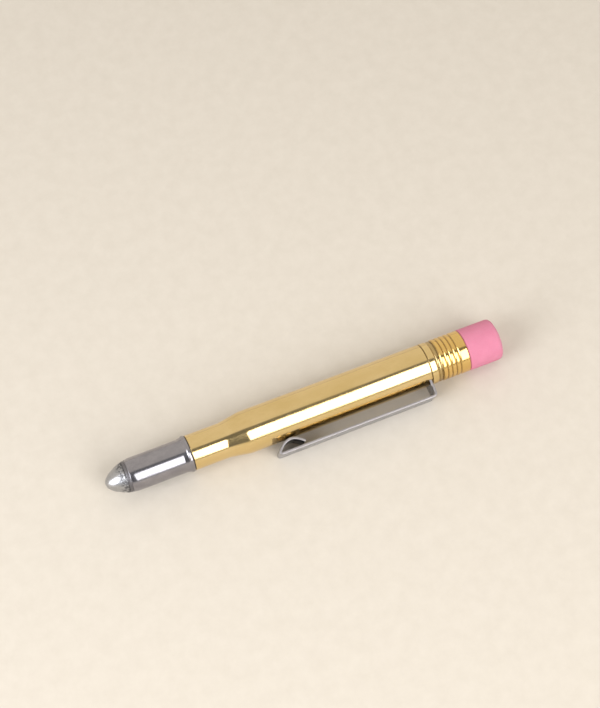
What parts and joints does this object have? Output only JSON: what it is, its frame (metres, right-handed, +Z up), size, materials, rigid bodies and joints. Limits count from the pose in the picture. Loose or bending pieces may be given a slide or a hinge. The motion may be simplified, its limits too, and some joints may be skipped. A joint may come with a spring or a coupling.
{
  "type": "bullet pencil",
  "caption": "Slim brass bullet pencil: domed metal holder, stored wooden pencil, screw-off end cap with ferrule and pink eraser, spring steel clip.",
  "frame": {"origin": "under the middle of the bounding box, on the surface the pencil lies on", "axes": "+X along the pencil from the domed holder to the eraser, +Z up, clip towards -Y"},
  "size_m": [0.105, 0.0148, 0.0108],
  "materials": {
    "polished_brass": "polished, lightly worn",
    "satin_nickel": "satin, turned",
    "cast_dome": "rough satin, slightly pitted",
    "spring_steel": "satin, lightly marked",
    "pink_rubber": "matte",
    "cedar": "bare",
    "graphite": "fired clay and graphite, dull metallic"
  },
  "bodies": {
    "barrel": {"barrel": "polished_brass"},
    "pencil": {"pencil_slat_upper": "cedar", "pencil_slat_lower": "cedar", "graphite_lead": "graphite"},
    "holder": {"holder_sleeve": "satin_nickel", "nose_cap": "cast_dome"},
    "clip": {"clip_ring": "spring_steel"},
    "clip_arm": {"clip_arm": "spring_steel"},
    "end_cap": {"end_plug": "polished_brass", "eraser_ferrule": "polished_brass"},
    "eraser": {"eraser": "pink_rubber"}
  },
  "joints": [
    {"name": "pencil_draw", "type": "slide", "parent": "barrel", "child": "pencil", "axis": [-1, 0, 0], "range_m": [0, 0.055]},
    {"name": "holder_off", "type": "slide", "parent": "pencil", "child": "holder", "axis": [-1, 0, 0], "range_m": [0, 0.027]},
    {"name": "clip_release", "type": "slide", "parent": "barrel", "child": "clip", "axis": [1, 0, 0], "range_m": [0, 0.0066]},
    {"name": "cap_unscrew", "type": "hinge", "parent": "clip", "child": "end_cap", "pos_m": [0.0328, 0.00196, 0.0054], "axis": [1, 0, 0], "range_deg": [0, 2340]},
    {"name": "clip_flex", "type": "hinge", "parent": "clip", "child": "clip_arm", "pos_m": [0.032, -0.00336, 0.00378], "axis": [0, -0.2919, 0.9564], "range_deg": [0, 4.5], "stiffness_Nm_per_rad": 3},
    {"name": "eraser_pull", "type": "slide", "parent": "end_cap", "child": "eraser", "axis": [1, 0, 0], "range_m": [0, 0.0065]}
  ],
  "couplings": [
    {"joint": "clip_release", "follows": "cap_unscrew", "m_per_rad": 0.00015915}
  ]
}
